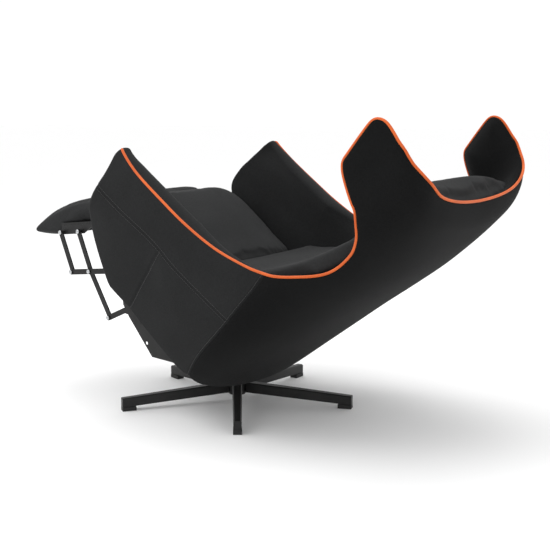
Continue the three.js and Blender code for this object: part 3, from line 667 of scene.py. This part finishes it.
def wall_faces(columns, rows, walk):
    """Faces of the outer and inner grids, and of the roll whose rows are numbered after them."""
    grids = TwoGrids(columns, rows)
    faces = []
    for i in range(columns):
        for j in range(rows):
            faces += grids.quads(i, j)
    count = len(walk)

    def on_roll(k, m):
        _, i, j = walk[m % count]
        if k in (0, ROLL_STEPS):
            return grids.at(k // ROLL_STEPS, i, j)
        return 2 * grids.size + (k - 1) * count + m % count

    for k in range(ROLL_STEPS):
        for m in range(count):
            faces.append((on_roll(k, m), on_roll(k + 1, m), on_roll(k + 1, m + 1), on_roll(k, m + 1)))
    return faces


def wall_piece(
    name, place, grid, roll_at, nodes, mirror=False, lean=False, both_sides=False, material=None
):
    """A padded wall: outer and inner faces joined round their edge by a half-round roll.

    roll_at(side, a, v) gives the roll's height on that side of the edge, at shares a and v."""
    columns, rows = grid
    outer, inner = wall_surfaces(place, columns, rows, lean, both_sides)
    walk = edge_walk(columns, rows)
    outer_edge = np.array([outer[i, j] for _, i, j in walk])
    inner_edge = np.array([inner[i, j] for _, i, j in walk])
    height = np.array([roll_at(side, i / columns, j / rows) for side, i, j in walk])
    roll = roll_points(outer_edge, inner_edge, height)
    points = np.concatenate([outer.reshape(-1, 3), inner.reshape(-1, 3), *roll])
    faces = wall_faces(columns, rows, walk)
    if mirror:
        points[:, 0] *= -1
        faces = [f[::-1] for f in faces]
    piece = piece_from(name, to_row(points), faces, "fabric", "shell", material)
    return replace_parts(piece, *nodes)


def side_roll(side, a, v):
    """Height of the roll round a side wall: full along the arm, and low at its tip."""
    if side == "top":
        return TIP_ROLL + (ARM_ROLL - TIP_ROLL) * min(1, a / ARM_ROLL_FROM) * (1 - a**3)
    if side == "front":
        return FRONT_ROLL + (TIP_ROLL - FRONT_ROLL) * v**8
    return 0


def back_roll(side, a, v):
    """Height of the roll round the back: only along its free edge, above the seams."""
    rim = side == "top" or (side in ("front", "rear") and v > SEAM_SHARE + 0.01)
    return WING_ROLL if rim else 0


SIDE_GRID = (150, 110)
BACK_GRID = (220, 230)


def make_shell():
    for side in ("left", "right"):
        wall_piece(
            f"shell_cover_{side}", side_place, SIDE_GRID, side_roll, [f"shell_side_{side}"],
            mirror=side == "right", lean=True,
        )
    # The back wall wears the darker weave, which is painted shade, not a different cloth.
    wall_piece(
        "shell_cover_back", back_place, BACK_GRID, back_roll, ["shell_back"],
        both_sides=True, material=PAINTED_SHADE_BACK_CLOTH,
    )


# ------------------------------------------------------------------ piping

PIPING_RADIUS = 3.7
PIPING_RISE = 4.2
PIPING_INSET = 1.0
# Where the piping's ends tuck in, from its first point at the arm's tip
PIPING_TUCK = np.array([[-9.0, -3.0, -9.0], [-3.0, -3.0, -1.0]])
PIPING_POINTS = 1500
# How far a tube's end stands out, as a share of its radius
TUBE_CAP = 0.7


def tube(path, radius, sides=12):
    """Points and faces of a tube with rounded ends along a path in space."""
    along = unit(np.gradient(path, axis=0))
    up = np.array([0.0, 0.0, 1.0])
    turns = np.linspace(0, 2 * math.pi, sides, endpoint=False)[:, None]
    rings = []
    for point, direction in zip(path, along):
        across = np.cross(direction, up)
        across /= np.linalg.norm(across)
        up = np.cross(across, direction)
        rings.append(point + radius * (np.cos(turns) * across + np.sin(turns) * up))
    cap = along * radius * TUBE_CAP
    points = np.concatenate([*rings, path[:1] - cap[:1], path[-1:] + cap[-1:]])
    faces = ring_faces(len(path), sides)
    first, last = len(points) - 2, len(points) - 1
    start = (len(path) - 1) * sides
    for m in range(sides):
        n = (m + 1) % sides
        faces.append((first, n, m))
        faces.append((last, start + m, start + n))
    return points, faces


def make_piping():
    left = smoothed(RIM + RIM_AWAY * PIPING_RISE - RIM_OUTWARD * PIPING_INSET, 4)
    left = np.concatenate([left[0] + PIPING_TUCK, left])
    left[-1, 0] = 0
    right = left[-2::-1] * (-1, 1, 1)
    path = smoothed(spread(np.concatenate([left, right]), PIPING_POINTS), 3)
    points, faces = tube(to_row(path), PIPING_RADIUS * MM)
    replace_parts(piece_from("rim_piping", points, faces, "piping", "shell"), "piping")


# ------------------------------------------------------------------ stitches

STITCH_LENGTH = 4.2
STITCH_PITCH = 6.4
STITCH_RADIUS = 0.42
STITCH_OFFSET = 5.0
# Points of a stitch, as shares of its length, and how high each one stands over the cloth
STITCH_SHARES = np.array([0, 0.33, 0.67, 1.0])
STITCH_LIFTS = np.array([-0.1, 0.45, 0.45, -0.1])
STITCH_START = 0.2


def stitches(name, lines, body):
    """Short threads along lines. Each line is (points, normals) in the row frame, in metres."""
    points, faces = [], []
    shares = STITCH_START + STITCH_SHARES * STITCH_LENGTH / STITCH_PITCH
    for path, normals in lines:
        lengths = run_lengths(path)
        for k in range(int(lengths[-1] / (STITCH_PITCH * MM))):
            at = (k + shares) * STITCH_PITCH * MM
            lift = sample(normals, lengths, at) * (STITCH_LIFTS * MM)[:, None]
            thread_points, thread_faces = tube(sample(path, lengths, at) + lift, STITCH_RADIUS * MM, 6)
            faces += [tuple(i + len(points) for i in face) for face in thread_faces]
            points += list(thread_points)
    return piece_from(name, points, faces, "fabric", body, THREAD)


def shell_stitch_lines(mirror):
    """Lines of stitches beside the side wall's seams: both sides of the ridge, one of the others."""
    lines = []
    depth = SEAM_DEPTH * math.exp(-((STITCH_OFFSET / SEAM_WIDTH) ** 2))
    for name, seam in SEAMS.items():
        along = unit(np.gradient(seam, axis=0))
        level = name == "ridge"
        outward = np.cross(along, (0, 0, 1.0)) if level else np.tile((1.0, 0, 0), (len(seam), 1))
        outward[:, 0] = np.abs(outward[:, 0])
        aside = np.cross(unit(outward), along)
        for sign in (1, -1) if level else (1,):
            path = seam + aside * STITCH_OFFSET * sign
            s = side_s(path[:, 1], path[:, 2])
            path = wall_point(s, path[:, 2], depth)
            normal = unit(path - wall_point(s, path[:, 2], depth + 1))
            if mirror:
                path, normal = path * (-1, 1, 1), normal * (-1, 1, 1)
            base = to_row(path)
            lines.append((base, (to_row(path + normal) - base) / MM))
    return lines


def make_stitches():
    for side in ("left", "right"):
        stitches(f"side_stitching_{side}", shell_stitch_lines(side == "right"), "shell")


# ------------------------------------------------------------------ cushions

CLOTH_FRAMES = 20


def bake(piece):
    """Takes what the modifiers show as the piece's own mesh."""
    shown = piece.evaluated_get(bpy.context.evaluated_depsgraph_get())
    mesh = bpy.data.meshes.new_from_object(shown)
    piece.modifiers.clear()
    piece.data = mesh
    mesh.shade_smooth()


def remesh(piece, voxel):
    modifier = piece.modifiers.new("remesh", "REMESH")
    modifier.mode = "VOXEL"
    modifier.voxel_size = voxel * MM
    bake(piece)


def relax(piece, times):
    modifier = piece.modifiers.new("smooth", "SMOOTH")
    modifier.iterations = times
    modifier.factor = 0.5
    bake(piece)


def inflate(piece, pressure, cap):
    """Fills the piece like a sewn cushion. No point moves further than cap, in millimetres."""
    start = coordinates(piece.data)
    modifier = piece.modifiers.new("cloth", "CLOTH")
    cloth = modifier.settings
    cloth.quality = 4
    cloth.mass = 0.35
    cloth.tension_stiffness = 12
    cloth.compression_stiffness = 12
    cloth.shear_stiffness = 4
    cloth.bending_stiffness = 1.5
    cloth.use_pressure = True
    cloth.uniform_pressure_force = pressure
    cloth.effector_weights.gravity = 0
    scene = bpy.context.scene
    for step in range(1, CLOTH_FRAMES + 1):
        scene.frame_set(step)
    shown = piece.evaluated_get(bpy.context.evaluated_depsgraph_get())
    moved = coordinates(shown.data) - start
    reach = np.linalg.norm(moved, axis=1, keepdims=True)
    moved *= np.minimum(1, cap * MM / np.maximum(reach, 1e-9))
    piece.modifiers.clear()
    scene.frame_set(1)
    set_coordinates(piece.data, start + moved)


def cushion(name, points, faces, body, nodes, voxel, pressure, cap):
    """A cushion made from a closed form: even faces, then filled, then made finer."""
    piece = piece_from(name, to_row(points), faces, "cushion_fabric", body)
    remesh(piece, voxel)
    relax(piece, 4)
    inflate(piece, pressure, cap)
    relax(piece, 3)
    subdivision = piece.modifiers.new("subdivision", "SUBSURF")
    subdivision.levels = subdivision.render_levels = 1
    bake(piece)
    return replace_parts(piece, *nodes)


def between(grid, outer, inner):
    """Points and faces of the closed solid between two grids of points."""
    columns, rows = grid
    grids = TwoGrids(columns, rows)
    at = grids.at
    faces = []
    for i in range(columns):
        for j in range(rows):
            faces += grids.quads(i, j)
        faces.append((at(0, i, 0), at(1, i, 0), at(1, i + 1, 0), at(0, i + 1, 0)))
        faces.append((at(0, i, rows), at(0, i + 1, rows), at(1, i + 1, rows), at(1, i, rows)))
    for j in range(rows):
        faces.append((at(0, 0, j), at(0, 0, j + 1), at(1, 0, j + 1), at(1, 0, j)))
        low, high = (columns, j), (columns, j + 1)
        faces.append((at(0, *low), at(1, *low), at(1, *high), at(0, *high)))
    return np.concatenate([outer.reshape(-1, 3), inner.reshape(-1, 3)]), faces


def cushion_grid(grid):
    """Places on a cushion: a from -1 to 1 across it, and b from 0 to 1 along it."""
    columns, rows = grid
    return np.meshgrid(np.linspace(-1, 1, columns + 1), np.linspace(0, 1, rows + 1), indexing="ij")


SEAT_GRID = (48, 40)
SEAT_HALF_WIDTH = 292
SEAT_FRONT_Y = -408
SEAT_REAR_Y = -62
# How far the corners sweep back at the front and forward at the rear, and drop at the sides
SEAT_FRONT_SWEEP = 10
SEAT_REAR_SWEEP = 44
SEAT_CROWN = 48
# Height of the seat's middle, by y
SEAT_TOP = [(-410, 445), (-405, 488), (-390, 509), (-350, 517), (-250, 509), (-150, 494), (-60, 487)]
SEAT_UNDER_FRONT_Y = -392
SEAT_UNDER_INSET = 4
# The board under the seat: a place on its top, its slope, and the gap over it
BOARD_FRONT_Y = -360
BOARD_FRONT_Z = 400
BOARD_SLOPE = -0.1
BOARD_GAP = 2


def make_seat_cushion():
    a, b = cushion_grid(SEAT_GRID)
    front = SEAT_FRONT_Y + SEAT_FRONT_SWEEP * np.abs(a) ** 6
    rear = SEAT_REAR_Y - SEAT_REAR_SWEEP * a**4
    y = front + (rear - front) * b**1.3
    z = curve_at(SEAT_TOP, y) - SEAT_CROWN * np.abs(a) ** 3
    top = np.stack([a * SEAT_HALF_WIDTH, y, z], axis=-1)
    low = BOARD_FRONT_Z + BOARD_SLOPE * (y - BOARD_FRONT_Y) + BOARD_GAP
    under_x = a * (SEAT_HALF_WIDTH - SEAT_UNDER_INSET)
    under = np.stack([under_x, np.maximum(y, SEAT_UNDER_FRONT_Y), low], axis=-1)
    points, faces = between(SEAT_GRID, top, under)
    return cushion(
        "seat_pad", points, faces, "shell", ["seat_cushion"], voxel=6, pressure=3.0, cap=7
    )


BACK_PAD_GRID = (60, 80)
# By height: y of the pad's front at its middle, and what is added to it at its edges
BACK_FRONT_Y = [
    (440, -40), (487, -64), (527, -8), (612, 100), (717, 196), (827, 262), (900, 286), (960, 292),
    (1010, 290), (1046, 330),
]
BACK_EDGE_Y = [(440, -30), (487, -10), (612, 0), (717, 6), (927, 14), (1046, 26)]
BACK_BOTTOM = 442
BACK_TOP = 1044
BACK_BELOW_RIM = 5
# From the front's line to where the pad's edge meets the wall
BACK_EDGE_THICKNESS = 60
# How far the pad sinks into the wall's padding, the padding left behind it, and its least thickness
BACK_SINK = 3
BACK_LEAST_WALL = 7
BACK_LEAST = 8


def make_back_cushion():
    """The back pad, from the seat up to the piping behind the head, thinning out at its top."""
    a, b = cushion_grid(BACK_PAD_GRID)

    def wall_s(z):
        edge_s = side_s(curve_at(BACK_FRONT_Y, z) + BACK_EDGE_THICKNESS, z)
        return edge_s + (1 - edge_s) * (1 - np.abs(a)) ** 0.8

    top_s = np.maximum(wall_s(np.full_like(a, BACK_TOP)), 0)
    top = np.minimum(BACK_TOP, curve_at(RIM_HEIGHT, top_s) - BACK_BELOW_RIM)
    z = BACK_BOTTOM + (top - BACK_BOTTOM) * b
    s = wall_s(z)
    rear = wall_point(s, z, np.maximum(wall_depth(s, z, 1) - BACK_SINK, BACK_LEAST_WALL))
    rear[..., 0] *= np.where(a < 0, -1, 1)
    front_y = curve_at(BACK_FRONT_Y, z) + curve_at(BACK_EDGE_Y, z) * np.abs(a) ** 3
    front_y = np.minimum(front_y, rear[..., 1] - BACK_LEAST)
    points, faces = between(BACK_PAD_GRID, np.stack([rear[..., 0], front_y, z], axis=-1), rear)
    return cushion(
        "back_pad", points, faces, "shell", ["back_cushion"], voxel=7, pressure=3.0, cap=8
    )


# ------------------------------------------------------------------ footrest

PAD_REAR = np.array([-495.0, 296.0])
PAD_FRONT = np.array([-551.0, 251.0])
PAD_HALF_WIDTH = 219
# The pad's outline, as distances along and beside the line through the footrest's two pivots
PAD_TOP = [
    (198, 29), (212, 45), (213, 78), (200, 97), (138, 95), (28, 83), (-58, 58), (-116, 29), (-147, 8),
    (-145, 0),
]
PAD_UNDER = [(-145, 0), (-84, -3), (-22, -3), (-12, 6), (-9, 29), (198, 29)]
PAD_TOP_POINTS = 60
PAD_UNDER_POINTS = 41
PAD_SLICES = 41
PAD_END_SHRINK = 0.16


def pad_point(u, n):
    """(y, z) of a place beside the line through the footrest's two pivots."""
    line = (PAD_REAR - PAD_FRONT) / np.linalg.norm(PAD_REAR - PAD_FRONT)
    return PAD_FRONT + line * u + np.array([-line[1], line[0]]) * n


def make_footrest_pad():
    """Slices of one outline across the pad, smaller close to its ends."""
    top = spread(smooth_path(PAD_TOP, 12), PAD_TOP_POINTS)
    under = spread(np.array(PAD_UNDER, float), PAD_UNDER_POINTS)[1:-1]
    outline = np.array([pad_point(u, n) for u, n in np.concatenate([top, under])])
    centre = outline.mean(axis=0)
    points = []
    for a in np.linspace(-1, 1, PAD_SLICES):
        shrink = 1 - PAD_END_SHRINK * abs(a) ** 14
        points += [(a * PAD_HALF_WIDTH, y, z) for y, z in centre + (outline - centre) * shrink]
    count = len(outline)
    faces = ring_faces(PAD_SLICES, count, inward=True)
    faces.append(tuple(range(count)))
    faces.append(tuple((PAD_SLICES - 1) * count + m for m in reversed(range(count))))
    return cushion(
        "footrest_cushion", points, faces, "footrest", ["footrest_pad"],
        voxel=5, pressure=2.0, cap=5,
    )


# ------------------------------------------------------------------ steel parts

# The eased edges of steel and board, in metres, and the angle from which an edge is eased
EDGE_EASE = 0.0008
EDGE_ANGLE = math.radians(40)
SLOT_OF = {s["node"]: s["material_slot"] for s in frame["record"]["subparts"]}


def finish_cad_parts():
    """Every CAD part that stays gets its material, eased edges and smooth round faces."""
    for name, node in frame["nodes"].items():
        node.data.materials.clear()
        node.data.materials.append(MATERIALS[SLOT_OF[name]])
        if node.hide_render:
            continue
        bevel = node.modifiers.new("eased_edges", "BEVEL")
        bevel.width = EDGE_EASE
        bevel.segments = 2
        bevel.limit_method = "ANGLE"
        bevel.angle_limit = EDGE_ANGLE
        bevel.harden_normals = True
        node.data.shade_smooth()


def lathe(profile, centre, axis_x, sides=28):
    """A turned shape: profile is (along, radius), along X from a centre, the way axis_x says."""
    points = []
    for along, radius in profile:
        for k in range(sides):
            turn = 2 * math.pi * k / sides
            y, z = centre[1] + radius * math.cos(turn), centre[2] + radius * math.sin(turn)
            points.append((centre[0] + axis_x * along, y, z))
    faces = ring_faces(len(profile), sides)
    faces.append(tuple(reversed(range(sides))))
    faces.append(tuple((len(profile) - 1) * sides + m for m in range(sides)))
    return points, faces if axis_x > 0 else [f[::-1] for f in faces]


# x of the faces that the heads sit on
LINK_FACE = 243.2
BRACKET_FACE = 236.2
# Each head is (body, (y, z) of its pin when upright, x of its face)
RIVETS = {
    "cross_link": [("cross_links", (-395, 224), LINK_FACE), ("cross_links", (-264, 153), LINK_FACE)],
    "front_link": [("front_links", (-451, 179), LINK_FACE)],
    "footrest_bracket": [
        ("footrest", PAD_FRONT, BRACKET_FACE),
        ("footrest", PAD_REAR, BRACKET_FACE),
    ],
}
# (along, radius) of the head's outline, in millimetres
RIVET_DOME = [(-0.4, 5.9), (0.4, 6.3), (1.1, 5.9), (1.9, 4.6), (2.5, 2.6), (2.7, 0.6)]


def make_rivets():
    """Bright domed heads on the linkage's pins."""
    dome = [(along * MM, radius * MM) for along, radius in RIVET_DOME]
    for link, rivets in RIVETS.items():
        for k, (body, (y, z), x) in enumerate(rivets):
            for side, sign in (("left", 1), ("right", -1)):
                points, faces = lathe(dome, to_row((sign * x, y, z)), sign)
                piece_from(f"{link}_rivet_{k + 1}_{side}", points, faces, "zinc_steel", body)


# ------------------------------------------------------------------ studio

FLOOR_COLOR = grey(0.97)
FLOOR_HALF = 40
WORLD_STRENGTH = 1.03
# Name, place, size and power of each light
LIGHTS = [("key", (1.8, -1.8, 3.2), 2.2, 45), ("top", (-0.6, -0.4, 3.8), 2.6, 45)]
LIGHT_AIM = Vector((0, 0, 0.45))


def make_floor():
    shader = Shader("studio_floor", FLOOR_COLOR, 0.9, specular=0.1)
    shader.color(shader.noise(2, 2.0), [(0.3, grey(0.965)), (0.7, grey(0.975))])
    mesh = bpy.data.meshes.new("floor")
    corners = [(x * FLOOR_HALF, y * FLOOR_HALF, 0) for x, y in ((-1, -1), (1, -1), (1, 1), (-1, 1))]
    mesh.from_pydata(corners, [], [(0, 1, 2, 3)])
    mesh.materials.append(shader.material)
    floor = bpy.data.objects.new("floor", mesh)
    bpy.context.collection.objects.link(floor)


def make_lights():
    world = bpy.data.worlds.new("studio")
    world.use_nodes = True
    background = world.node_tree.nodes["Background"]
    background.inputs["Color"].default_value = (1, 1, 1, 1)
    background.inputs["Strength"].default_value = WORLD_STRENGTH
    bpy.context.scene.world = world
    for name, place, size, energy in LIGHTS:
        light = bpy.data.lights.new(name, "AREA")
        light.energy = energy
        light.size = size
        lamp = bpy.data.objects.new(name, light)
        lamp.location = place
        lamp.rotation_mode = "QUATERNION"
        lamp.rotation_quaternion = (LIGHT_AIM - Vector(place)).to_track_quat("-Z", "Y")
        bpy.context.collection.objects.link(lamp)


# ------------------------------------------------------------------ assembly

bpy.context.scene.view_settings.view_transform = "Standard"
make_camera()
make_floor()
make_lights()
make_shell()
make_piping()
make_stitches()
make_seat_cushion()
make_back_cushion()
make_footrest_pad()
make_rivets()
finish_cad_parts()
